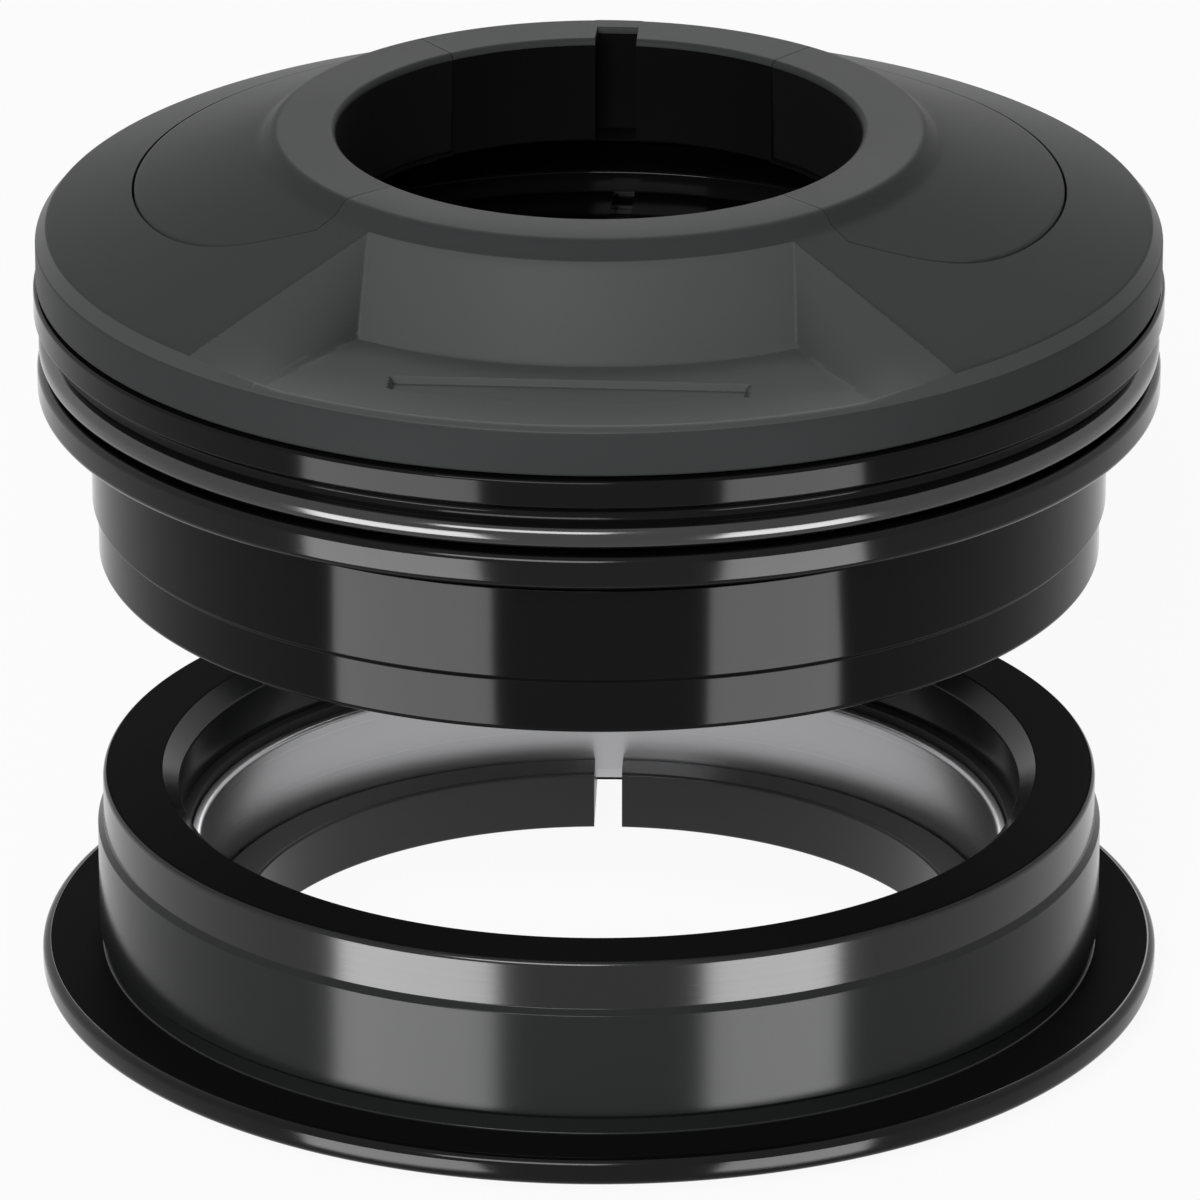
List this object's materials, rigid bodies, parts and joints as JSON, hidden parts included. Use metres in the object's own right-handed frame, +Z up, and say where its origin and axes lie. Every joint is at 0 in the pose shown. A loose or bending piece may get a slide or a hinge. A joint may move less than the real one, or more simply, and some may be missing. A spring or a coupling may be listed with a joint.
{
  "type": "bicycle headset",
  "caption": "Semi-integrated bicycle headset: press-in cups with sealed angular bearings, split crown race, compression ring and a conical top cover with side inserts.",
  "frame": {"origin": "on the steering axis, in the plane where the lower end of the head tube meets the lower cup's flange", "axes": "+Z up along the steering axis, -Y towards the front of the bicycle, +X to the right seen from the front"},
  "size_m": [0.0624, 0.0624, 0.0502],
  "materials": {
    "black_anodised": "turned and black anodised, glossy",
    "cover_plastic": "fine matte moulded",
    "insert_plastic": "fine matte moulded",
    "gloss_black": "polished black",
    "bearing_steel": "ground and polished",
    "cage_plastic": "moulded",
    "seal_rubber": "matte"
  },
  "bodies": {
    "head_tube_side": {"upper_cup": "black_anodised", "lower_cup": "black_anodised", "upper_bearing_outer_race": "bearing_steel", "upper_bearing_upper_seal": "seal_rubber", "upper_bearing_lower_seal": "seal_rubber", "lower_bearing_outer_race": "bearing_steel", "lower_bearing_upper_seal": "seal_rubber", "lower_bearing_lower_seal": "seal_rubber"},
    "steering_top": {"top_cover": "cover_plastic", "left_insert": "insert_plastic", "right_insert": "insert_plastic", "cover_base_ring": "gloss_black", "cup_wiper": "seal_rubber", "steerer_seal": "seal_rubber", "compression_ring": "black_anodised", "upper_bearing_inner_race": "bearing_steel"},
    "upper_ball_set": {"upper_bearing_balls": "bearing_steel", "upper_bearing_cage": "cage_plastic"},
    "crown_side": {"crown_race": "black_anodised", "crown_seal": "seal_rubber", "lower_bearing_inner_race": "bearing_steel"},
    "lower_ball_set": {"lower_bearing_balls": "bearing_steel", "lower_bearing_cage": "cage_plastic"}
  },
  "joints": [
    {"name": "upper_steering", "type": "hinge", "parent": "head_tube_side", "child": "steering_top", "pos_m": [0, 0, 0.0334], "axis": [0, 0, 1], "continuous": true},
    {"name": "upper_ball_orbit", "type": "hinge", "parent": "head_tube_side", "child": "upper_ball_set", "pos_m": [0, 0, 0.0299], "axis": [0, 0, 1], "continuous": true},
    {"name": "lower_steering", "type": "hinge", "parent": "head_tube_side", "child": "crown_side", "pos_m": [0, 0, 0], "axis": [0, 0, 1], "continuous": true},
    {"name": "lower_ball_orbit", "type": "hinge", "parent": "head_tube_side", "child": "lower_ball_set", "pos_m": [0, 0, 0.0029], "axis": [0, 0, 1], "continuous": true}
  ],
  "couplings": [
    {"joint": "upper_ball_orbit", "follows": "upper_steering", "ratio": 0.4842},
    {"joint": "lower_ball_orbit", "follows": "lower_steering", "ratio": 0.4842}
  ]
}
